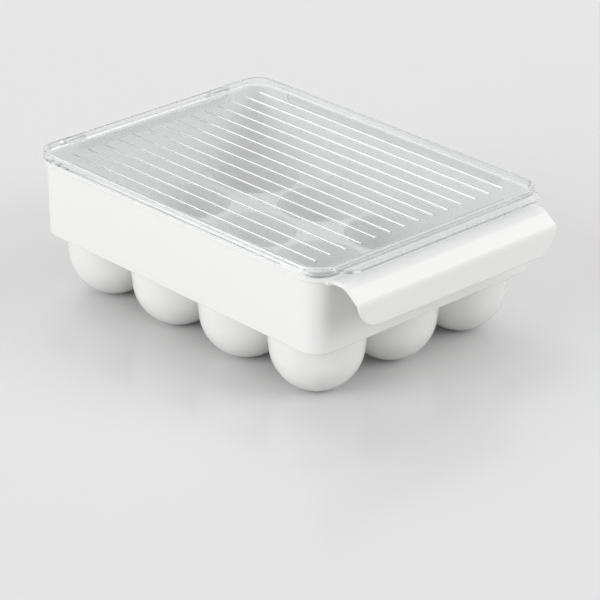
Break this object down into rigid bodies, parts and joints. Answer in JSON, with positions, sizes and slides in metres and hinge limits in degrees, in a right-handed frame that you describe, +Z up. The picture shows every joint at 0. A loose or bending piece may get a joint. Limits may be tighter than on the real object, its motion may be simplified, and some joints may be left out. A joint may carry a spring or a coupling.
{
  "type": "egg keeper",
  "caption": "Refrigerator egg keeper: white moulded tray with round egg cups and a front grip, and a clear ribbed lid that flips up on a rear hinge.",
  "frame": {"origin": "on the resting plane, under the middle of the whole keeper's outline with the lid closed", "axes": "+Z up, -Y towards the front with the grip and the lid's tab, +X to the right seen from the front"},
  "size_m": [0.1642, 0.2428, 0.0813],
  "materials": {
    "white_tray": "satin gloss injection moulding",
    "clear_lid": "clear, polished",
    "white_pin": "drawn rod"
  },
  "bodies": {
    "tray": {"tray_body": "white_tray", "hinge_pin_left": "white_pin", "hinge_pin_right": "white_pin"},
    "lid": {"flip_lid": "clear_lid"}
  },
  "joints": [
    {"name": "lid_hinge", "type": "hinge", "parent": "tray", "child": "lid", "pos_m": [0, 0.11665, 0.0704], "axis": [-1, 0, 0], "range_deg": [0, 110]}
  ]
}
